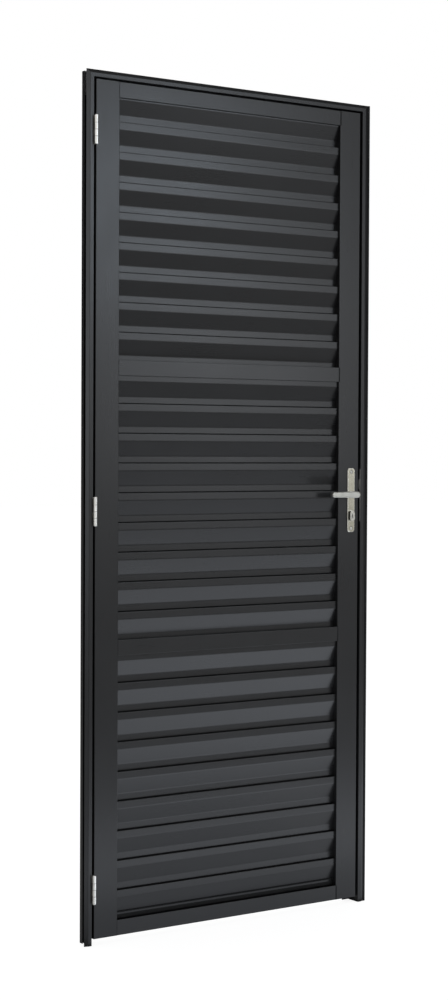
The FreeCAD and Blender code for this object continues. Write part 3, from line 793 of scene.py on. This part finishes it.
@dataclass(frozen=True)
class ScrewHead:
    """A low domed screw head with a cross recess. Shares are of the radius or of the rise."""

    radius: float
    rise: float
    sink: float = 0.6 * MM
    rim_share: float = 0.35
    dome_power: float = 2.4
    recess_reach: float = 0.62
    recess_width: float = 0.17
    recess_depth: float = 0.8
    side_slope: float = 0.06
    end_slope: float = 0.12
    sides: int = 48
    steps: int = 14

    def surface(self) -> Surface:
        """Make the head about Z, standing on z = 0.

        At share s of the radius the top is at rise * (rim_share + (1 - rim_share) * (1 - s ** dome_power)
        ** 0.5). The cross is cut where the point lies within recess_width of either axis and recess_reach
        of the middle, with sides that slope over side_slope and ends that slope over end_slope.

        Returns:
            The closed shell.
        """
        share = np.linspace(0.0, 1.0, self.steps)
        radii = np.concatenate([share * self.radius, [self.radius, 0.0]])
        crown = np.sqrt(np.clip(1.0 - share**self.dome_power, 0.0, 1.0))
        dome = self.rise * (self.rim_share + (1.0 - self.rim_share) * crown)
        heights = np.concatenate([dome, [-self.sink, -self.sink]])
        shell = Surface.turned(radii, heights, self.sides)
        flat = np.abs(shell.points[:, :2]) / self.radius
        across = np.clip((self.recess_width - flat.min(axis=1)) / self.side_slope, 0.0, 1.0)
        along = np.clip((self.recess_reach - flat.max(axis=1)) / self.end_slope, 0.0, 1.0)
        on_top = shell.points[:, 2] > 0.0
        shell.points[:, 2] -= np.where(on_top, across * along * self.recess_depth * self.rise, 0.0)
        return shell


def strip_outline(width: float, depth: float, sides: int = 32, power: float = 6.0) -> np.ndarray:
    """Outline of a strip with rounded corners, as a superellipse.

    At angle a the point is (width / 2 * c, depth / 2 * s), where c and s are the cosine and sine of a with
    their size raised to 2 / power and their sign kept.

    Args:
        width: size along the first axis.
        depth: size along the second axis.
        sides: points in the outline.
        power: how square the corners are, where 2 gives an ellipse.

    Returns:
        sides x 2 points, anticlockwise.
    """
    angle = np.linspace(0.0, 2.0 * np.pi, sides, endpoint=False)
    unit = np.stack([np.cos(angle), np.sin(angle)], axis=-1)
    return np.sign(unit) * np.abs(unit) ** (2.0 / power) * np.array([width, depth]) / 2.0


def dress(nodes: Nodes, names: Sequence[str], material: Material) -> None:
    """Give CAD nodes a finish.

    Args:
        nodes: every CAD node by name.
        names: the nodes to dress.
        material: their finish.
    """
    for name in names:
        slots = nodes[name].data.materials
        slots.clear()
        slots.append(material)
        LOG.info("%s: %s", name, material.name)


def face_of(node: str, axis: Axis, high: bool) -> float:
    """Coordinate of a CAD node's lowest or highest face along an axis."""
    low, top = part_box(node)
    return float((top if high else low)[axis])


def middle_of(node: str) -> Vector:
    """Middle of a CAD node's box."""
    low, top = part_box(node)
    return (low + top) / 2.0


def near_ends(node: str, margin: float) -> tuple[float, float]:
    """Heights at a margin above a CAD node's foot and below its top."""
    return face_of(node, Axis.Z, False) + margin, face_of(node, Axis.Z, True) - margin


@dataclass
class WallFrame:
    """The three-sided frame in the wall: jambs, header, face trims, corner plates, strike and a dark strip
    of painted shade.
    """

    finishes: Finishes
    uprights: tuple[str, ...] = ("hinge_jamb", "lock_jamb", "hinge_trim", "lock_trim", "strike_plate")
    levels: tuple[str, ...] = ("header", "head_trim")
    corner_plates: tuple[str, ...] = ("hinge_corner_plate", "lock_corner_plate")
    edge_shade_width: float = 6.2 * MM
    edge_shade_thickness: float = 1.8 * MM
    lip_thickness: float = 0.5 * MM
    lip_standoff: float = 0.3 * MM
    lip_depth: float = 2.3 * MM
    lip_setback: float = 0.7 * MM
    lip_levels: int = 120
    tongue: float = 4.6 * MM
    tongue_ramp: float = 4.0 * MM
    fixing_heights: tuple[float, ...] = (300.0 * MM, 1800.0 * MM)
    fixing_depth: float = 20.0 * MM
    fixing_head: ScrewHead = ScrewHead(5.2 * MM, 1.6 * MM)
    small_head: ScrewHead = ScrewHead(3.2 * MM, 0.9 * MM)
    strike_screw_margin: float = 12.0 * MM
    corner_screw_margin: float = 14.0 * MM

    def build(self, nodes: Nodes) -> None:
        """Dress the frame's nodes and add the dark strip of painted shade, the strike's lip and the
        screws.

        Args:
            nodes: every CAD node by name.
        """
        dress(nodes, self.uprights, self.finishes.upright_coat)
        dress(nodes, self.levels, self.finishes.level_coat)
        dress(nodes, self.corner_plates, self.finishes.bare_aluminium)
        self.add_edge_shade()
        self.strike_lip()
        self.fixing_screws()
        self.strike_screws()
        self.corner_screws()

    def add_edge_shade(self) -> None:
        """A dark rubber strip of painted shade up the outer edge of the lock trim: a flat strip carried
        from floor to top.
        """
        low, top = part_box("lock_trim")
        outline = strip_outline(self.edge_shade_width, self.edge_shade_thickness)
        outline += np.array([top.x + self.edge_shade_width / 2.0, top.y - self.edge_shade_thickness / 2.0])
        Surface.carried(outline, Axis.Z, low.z, top.z).to_object(
            "lock_trim_shade_strip", self.finishes.shade_strip_rubber, Body.FRAME, Slot.BLACK_COAT
        )

    def strike_lip(self) -> None:
        """Lip of the strike plate on the jamb's edge, with a tongue in front of the latch.

        A flat strip is carried up the plate. Behind its middle it reaches further back by tongue times a
        bump that rises over one ramp below the latch and falls over one ramp above it.
        """
        low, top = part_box("strike_plate")
        latch_low, latch_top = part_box("latch_bolt")
        heights = np.linspace(low.z, top.z, self.lip_levels)[:, None]
        rise = (heights - latch_low.z + self.tongue_ramp) / self.tongue_ramp
        fall = (latch_top.z + self.tongue_ramp - heights) / self.tongue_ramp
        bump = np.clip(rise, 0.0, 1.0) * np.clip(fall, 0.0, 1.0)
        across, along = strip_outline(self.lip_thickness, self.lip_depth).T
        back = face_of("lock_trim", Axis.Y, False) + self.lip_setback + self.lip_depth / 2.0
        depths = along + back + self.tongue * bump * (along > 0.0)
        sides = np.broadcast_to(across + low.x - self.lip_standoff, depths.shape)
        rings = np.stack([sides, depths, np.broadcast_to(heights, depths.shape)], axis=-1)
        Surface.lofted(rings).to_object(
            "strike_lip", self.finishes.worn_steel, Body.FRAME, Slot.HINGE_SILVER
        )

    def fixing_screws(self) -> None:
        """Heads of the frame screws on both rebate faces."""
        rebates = ((face_of("header", Axis.X, False), 1.0), (face_of("header", Axis.X, True), -1.0))
        heads = [
            self.fixing_head.surface().placed((x, self.fixing_depth, height), (way, 0.0, 0.0))
            for x, way in rebates
            for height in self.fixing_heights
        ]
        Surface.joined(heads).to_object(
            "frame_fixing_screws", self.finishes.screw_steel, Body.FRAME, Slot.HINGE_SILVER
        )

    def strike_screws(self) -> None:
        """Two screws near the ends of the strike plate."""
        x = face_of("strike_plate", Axis.X, False)
        y = middle_of("strike_plate").y
        heads = [
            self.small_head.surface().placed((x, y, height), (-1.0, 0.0, 0.0))
            for height in near_ends("strike_plate", self.strike_screw_margin)
        ]
        Surface.joined(heads).to_object(
            "strike_screws", self.finishes.screw_steel, Body.FRAME, Slot.HINGE_SILVER
        )

    def corner_screws(self) -> None:
        """Two screws through each corner plate, on the wall side."""
        heads = [
            self.small_head.surface().placed(
                (face_of(node, Axis.X, way > 0.0), middle_of(node).y, height), (way, 0.0, 0.0)
            )
            for node, way in zip(self.corner_plates, (-1.0, 1.0))
            for height in near_ends(node, self.corner_screw_margin)
        ]
        Surface.joined(heads).to_object(
            "corner_plate_screws", self.finishes.screw_steel, Body.FRAME, Slot.HINGE_SILVER
        )


@dataclass
class Leaf:
    """The swinging leaf: stiles, rails, three sections of blades and dark strips of painted shade between
    them.
    """

    finishes: Finishes
    sections: tuple[str, ...] = ("upper", "middle", "lower")
    blades_in_a_section: int = 9
    stiles: tuple[str, ...] = ("hinge_stile", "lock_stile")
    rails: tuple[str, ...] = ("top_rail", "upper_mid_rail", "lower_mid_rail", "bottom_rail")
    flat_setback: float = 10.6 * MM
    bend_height: float = 24.3 * MM
    strip_thickness: float = 1.2 * MM
    strip_height: float = 9.2 * MM
    bead_width: float = 3.0 * MM
    joint_width: float = 3.8 * MM
    joint_shift: float = 1.0 * MM
    joint_thickness: float = 0.4 * MM

    def build(self, nodes: Nodes) -> None:
        """Dress the leaf's nodes and add painted shade at the lowest blade and along the joints of the
        lock stile.

        Args:
            nodes: every CAD node by name.
        """
        dress(nodes, self.stiles, self.finishes.upright_coat)
        dress(nodes, self.rails, self.finishes.level_coat)
        blades = [
            f"{section}_blade_{number}"
            for section in self.sections
            for number in range(1, self.blades_in_a_section + 1)
        ]
        dress(nodes, blades, self.finishes.level_coat)
        self.bottom_shade_strips(blades[-1], self.rails[-1])
        self.add_joint_shade()

    def bottom_shade_strips(self, blade: str, rail: str) -> None:
        """Dark rubber of painted shade at the lowest blade: a flat strip on the rail and a round bead in
        the bend above it.

        Both are outlines in Y and Z that are carried along X from stile to stile.

        Args:
            blade: node of the lowest blade.
            rail: node of the rail below it.
        """
        low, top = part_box(blade)
        flat = low.y + self.flat_setback
        foot = face_of(rail, Axis.Z, True)
        strip = strip_outline(self.strip_thickness, self.strip_height)
        strip += np.array([flat - self.strip_thickness / 2.0, foot + self.strip_height / 2.0])
        bead = strip_outline(self.bead_width, self.bead_width, power=2.0)
        bead += np.array([flat - self.bead_width / 2.0, low.z + self.bend_height])
        shells = [Surface.carried(outline, Axis.X, low.x, top.x) for outline in (strip, bead)]
        Surface.joined(shells).to_object(
            "bottom_blade_shade", self.finishes.shade_strip_rubber, Body.LEAF, Slot.BLACK_COAT
        )

    def add_joint_shade(self) -> None:
        """A dark line of painted shade up each joint of a rail with the lock stile, on both faces of the
        leaf.

        Each is a flat strip's outline in X and Y that is carried up Z from the rail's foot to its top.
        """
        outline = strip_outline(self.joint_width, self.joint_thickness)
        shells = []
        for rail in self.rails:
            low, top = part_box(rail)
            for face in (low.y, top.y):
                middle = np.array([top.x + self.joint_shift, face])
                shells.append(Surface.carried(outline + middle, Axis.Z, low.z, top.z))
        Surface.joined(shells).to_object(
            "rail_joint_shade_lines", self.finishes.shade_strip_rubber, Body.LEAF, Slot.BLACK_COAT
        )


@dataclass
class HingeSet:
    """Three knuckle hinges with the screws of both plates."""

    finishes: Finishes
    heights: tuple[str, ...] = ("high", "middle", "low")
    plate_thickness: float = 2.0 * MM
    screw_rise: tuple[float, ...] = (-26.0 * MM, 0.0, 26.0 * MM)
    screw_depth: tuple[float, ...] = (15.0 * MM, 7.0 * MM, 15.0 * MM)
    head: ScrewHead = ScrewHead(3.0 * MM, 0.5 * MM, 0.3 * MM)

    def build(self, nodes: Nodes) -> None:
        """Dress both halves of each hinge and add the screws on the open faces of its plates.

        Args:
            nodes: every CAD node by name.
        """
        rebate = face_of("header", Axis.X, False)
        edge = face_of("hinge_stile", Axis.X, False)
        halves = (("frame", Body.FRAME, rebate, 1.0), ("door", Body.LEAF, edge, -1.0))
        for half, body, seat, way in halves:
            names = [f"{half}_hinge_{height}" for height in self.heights]
            dress(nodes, names, self.finishes.hinge_silver)
            x = seat + way * self.plate_thickness
            heads = [
                self.head.surface().placed((x, depth, middle_of(name).z + rise), (way, 0.0, 0.0))
                for name in names
                for rise, depth in zip(self.screw_rise, self.screw_depth)
            ]
            Surface.joined(heads).to_object(
                f"{half}_hinge_screws", self.finishes.screw_steel, body, Slot.HINGE_SILVER
            )


@dataclass
class LockSet:
    """Lock case, latch, key cylinder, and a plate and a lever on each side."""

    finishes: Finishes
    plates: tuple[str, ...] = ("inside_lock_plate", "outside_lock_plate")
    levers: tuple[str, ...] = ("inside_lever", "outside_lever")
    end_margin: float = 10.0 * MM
    plate_head: ScrewHead = ScrewHead(3.7 * MM, 0.9 * MM)
    sink_margin: float = 0.4 * MM
    sink_thickness: float = 0.5 * MM
    small_head: ScrewHead = ScrewHead(3.0 * MM, 0.5 * MM, 0.3 * MM)
    plug_radius: float = 5.9 * MM
    plug_thickness: float = 0.7 * MM

    def build(self, nodes: Nodes) -> None:
        """Dress the lock's nodes and add its small parts.

        Args:
            nodes: every CAD node by name.
        """
        dress(nodes, self.plates, self.finishes.lock_nickel)
        dress(nodes, ["key_cylinder"], self.finishes.cylinder_nickel)
        dress(nodes, self.levers, self.finishes.lever_silver)
        dress(nodes, ["lock_case", "spindle"], self.finishes.hinge_silver)
        dress(nodes, ["latch_bolt"], self.finishes.zinc_plate)
        self.plate_screws()
        self.forend_screws()
        self.key_plugs()

    def plate_screws(self) -> None:
        """A screw near each end of both plates, in a countersink whose shade is painted as a dark ring."""
        # The dark ring round each head is painted shadow of the countersink.
        sink = Surface.torus(self.plate_head.radius + self.sink_margin, self.sink_thickness)
        heads = []
        shadow_rings = []
        for name, way in zip(self.plates, (-1.0, 1.0)):
            x = middle_of(name).x
            y = face_of(name, Axis.Y, way > 0.0)
            for height in near_ends(name, self.end_margin):
                heads.append(self.plate_head.surface().placed((x, y, height), (0.0, way, 0.0)))
                shadow_rings.append(sink.placed((x, y, height), (0.0, way, 0.0)))
        Surface.joined(heads).to_object(
            "lock_plate_screws", self.finishes.screw_steel, Body.LEAF, Slot.LOCK_NICKEL
        )
        Surface.joined(shadow_rings).to_object(
            "lock_plate_countersink_shadows", self.finishes.shadow_ring_steel, Body.LEAF, Slot.LOCK_NICKEL
        )

    def forend_screws(self) -> None:
        """A screw near each end of the forend in the leaf's edge."""
        x = face_of("lock_case", Axis.X, True)
        y = middle_of("lock_case").y
        heads = [
            self.small_head.surface().placed((x, y, height), (1.0, 0.0, 0.0))
            for height in near_ends("lock_case", self.end_margin)
        ]
        Surface.joined(heads).to_object(
            "forend_screws", self.finishes.screw_steel, Body.LEAF, Slot.HINGE_SILVER
        )

    def key_plugs(self) -> None:
        """A ring round the keyway on each end of the key cylinder."""
        middle = middle_of("key_cylinder")
        ring = Surface.torus(self.plug_radius, self.plug_thickness)
        rings = [
            ring.placed(
                (middle.x, face_of("key_cylinder", Axis.Y, way > 0.0), middle.z), (0.0, way, 0.0)
            )
            for way in (-1.0, 1.0)
        ]
        Surface.joined(rings).to_object(
            "key_plug_rings", self.finishes.screw_steel, Body.LEAF, Slot.LOCK_NICKEL
        )


@dataclass(frozen=True)
class SoftBox:
    """A rectangular studio lamp."""

    name: str
    place: Point
    aim: Point
    size: tuple[float, float]
    watts: float
    colour: Colour = WHITE

    def build(self) -> None:
        """Hang the lamp and point it."""
        lamp = bpy.data.lights.new(self.name, "AREA")
        lamp.shape = "RECTANGLE"
        lamp.size, lamp.size_y = self.size
        lamp.energy = self.watts
        lamp.color = self.colour
        holder = bpy.data.objects.new(self.name, lamp)
        holder.location = self.place
        holder.visible_camera = False
        aim = Vector(self.aim) - Vector(self.place)
        holder.rotation_euler = aim.to_track_quat("-Z", "Y").to_euler()
        bpy.context.scene.collection.objects.link(holder)


@dataclass(frozen=True)
class Surround:
    """Surround that is white to the eye and in gloss, and softer as light.

    In gloss it darkens between the horizon and the zenith, towards the right side, in the upper right
    corner and behind the hinge jamb, as in a studio whose walls stand round the door. Each shade has spans
    of the cosine with its direction, over which it comes in, and a depth.
    """

    name: str = "studio"
    upward: Point = (0.0, 0.0, 1.0)
    rightward: Point = (1.0, 0.0, 0.0)
    behind_jamb: Point = (-0.6, 0.8, 0.0)
    ceiling_start: Range = (0.3, 0.6)
    ceiling_end: Range = (0.65, 0.85)
    ceiling_shade: float = 0.9
    right_span: Range = (0.7, 0.92)
    right_shade: float = 0.85
    behind_span: Range = (0.86, 0.96)
    behind_shade: float = 0.97
    corner_right: Range = (0.5, 0.8)
    corner_up: Range = (0.0, 0.2)
    corner_shade: float = 0.8
    soft_light: float = 0.5

    def build(self, scene: Scene) -> None:
        """Make the world and give it to the scene.

        Args:
            scene: the scene that it surrounds.
        """
        world = bpy.data.worlds.new(self.name)
        scene.world = world
        world.use_nodes = True
        graph = Graph(world.node_tree)
        path = graph.node("ShaderNodeLightPath")
        eye = graph.out(path, "Is Camera Ray")
        gloss = graph.out(path, "Is Glossy Ray") + graph.out(path, "Is Transmission Ray")
        gloss = gloss.at_most(1.0)
        soft = (1.0 - eye) * (1.0 - gloss) * self.soft_light
        background = graph.node(
            "ShaderNodeBackground",
            None,
            {"Color": WHITE, "Strength": eye + gloss * self.walls(graph) + soft},
        )
        graph.node("ShaderNodeOutputWorld", None, {"Surface": background})

    def walls(self, graph: Graph) -> Value:
        """Brightness of the surround in gloss.

        Args:
            graph: the world's graph.

        Returns:
            The brightness, from 0 to 1.
        """
        up = graph.towards(self.upward)
        right = graph.towards(self.rightward)
        ceiling = up.over(self.ceiling_start) * (1.0 - up.over(self.ceiling_end))
        corner = right.over(self.corner_right) * up.over(self.corner_up)
        behind = graph.towards(self.behind_jamb).over(self.behind_span)
        return (
            (1.0 - self.ceiling_shade * ceiling)
            * (1.0 - self.right_shade * right.over(self.right_span))
            * (1.0 - self.behind_shade * behind)
            * (1.0 - self.corner_shade * corner)
        )


@dataclass
class Studio:
    """Pale floor, white surround, soft lamps and the camera."""

    camera_place: Point = (-2.4015, -3.9909, 1.1981)
    yaw: float = 34.997
    pitch: float = -1.510
    roll: float = 0.2734
    focal_pixels: float = 1943.5
    long_side: int = 1000
    sensor: float = 36.0
    far_clip: float = 200.0
    floor_reach: float = 30.0
    floor_level: float = -0.5 * MM
    lamps: tuple[SoftBox, ...] = (
        SoftBox(
            "high_softbox",
            place=(2.1, -3.2, 2.35),
            aim=(0.1, 0.0, 1.8),
            size=(0.8, 0.8),
            watts=10.0,
            colour=(0.84, 0.96, 1.1),
        ),
        SoftBox(
            "low_softbox",
            place=(2.65, -3.2, 1.55),
            aim=(0.5, 0.0, 1.3),
            size=(0.8, 1.1),
            watts=6.0,
            colour=(0.92, 0.97, 1.04),
        ),
        SoftBox(
            "left_softbox",
            place=(0.2, -3.4, 1.7),
            aim=(0.0, 0.0, 1.5),
            size=(0.7, 2.0),
            watts=9.0,
            colour=(0.9, 0.98, 1.08),
        ),
        SoftBox(
            "floor_panel",
            place=(1.3, -0.88, 0.004),
            aim=(1.3, -0.88, 2.0),
            size=(2.6, 0.94),
            watts=11.2,
            colour=PANEL_COLOUR,
        ),
        SoftBox(
            "near_floor_panel",
            place=(1.3, -0.21, 0.004),
            aim=(1.3, -0.21, 2.0),
            size=(2.6, 0.4),
            watts=1.85,
            colour=PANEL_COLOUR,
        ),
        SoftBox(
            "far_floor_panel", place=(4.2, -4.0, 0.004), aim=(4.2, -4.0, 2.0), size=(3.2, 2.8), watts=5.3
        ),
        SoftBox(
            "back_softbox", place=(2.0, 3.4, 2.6), aim=(0.4, 0.0, 1.1), size=(2.2, 1.8), watts=45.0
        ),
    )

    def build(self) -> None:
        """Make the surround, the floor, the lamps and the camera."""
        scene = bpy.context.scene
        scene.view_settings.view_transform = "Standard"
        Surround().build(scene)
        self.floor()
        for lamp in self.lamps:
            lamp.build()
        self.camera(scene)

    def floor(self) -> None:
        """Lay a square floor just under the frame's feet."""
        corners = np.array([(-1.0, -1.0, 0.0), (1.0, -1.0, 0.0), (1.0, 1.0, 0.0), (-1.0, 1.0, 0.0)])
        corners = corners * self.floor_reach + np.array([0.0, 0.0, self.floor_level])
        mesh = bpy.data.meshes.new("floor")
        mesh.from_pydata(corners.tolist(), [], [(0, 1, 2, 3)])
        mesh.materials.append(PaleFloor("floor_white").material())
        floor = bpy.data.objects.new("floor", mesh)
        bpy.context.scene.collection.objects.link(floor)

    def camera(self, scene: Scene) -> None:
        """Stand the camera where the photograph was taken from.

        The camera turns by yaw about Z from +Y towards +X, by pitch up or down, and by roll about its own
        line of sight.

        Args:
            scene: the scene that looks through it.
        """
        yaw, pitch, roll = (math.radians(angle) for angle in (self.yaw, self.pitch, self.roll))
        ahead = Vector(
            (math.sin(yaw) * math.cos(pitch), math.cos(yaw) * math.cos(pitch), math.sin(pitch))
        )
        right = Vector((math.cos(yaw), -math.sin(yaw), 0.0))
        up = right.cross(ahead)
        across = right * math.cos(roll) + up * math.sin(roll)
        upward = up * math.cos(roll) - right * math.sin(roll)
        data = bpy.data.cameras.new("camera")
        data.sensor_width = self.sensor
        data.lens = self.sensor * self.focal_pixels / self.long_side
        data.clip_end = self.far_clip
        holder = bpy.data.objects.new("camera", data)
        turn = Matrix((across, upward, -ahead)).transposed().to_4x4()
        holder.matrix_world = Matrix.Translation(self.camera_place) @ turn
        scene.collection.objects.link(holder)
        scene.camera = holder


def main() -> None:
    """Load the frame, dress every sub-assembly and set the studio."""
    logging.basicConfig(level=logging.INFO, format="%(message)s")
    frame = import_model()
    nodes = frame["nodes"]
    finishes = Finishes.make()
    for part in (WallFrame(finishes), Leaf(finishes), HingeSet(finishes), LockSet(finishes)):
        part.build(nodes)
    Studio().build()


if __name__ == "__main__":
    main()
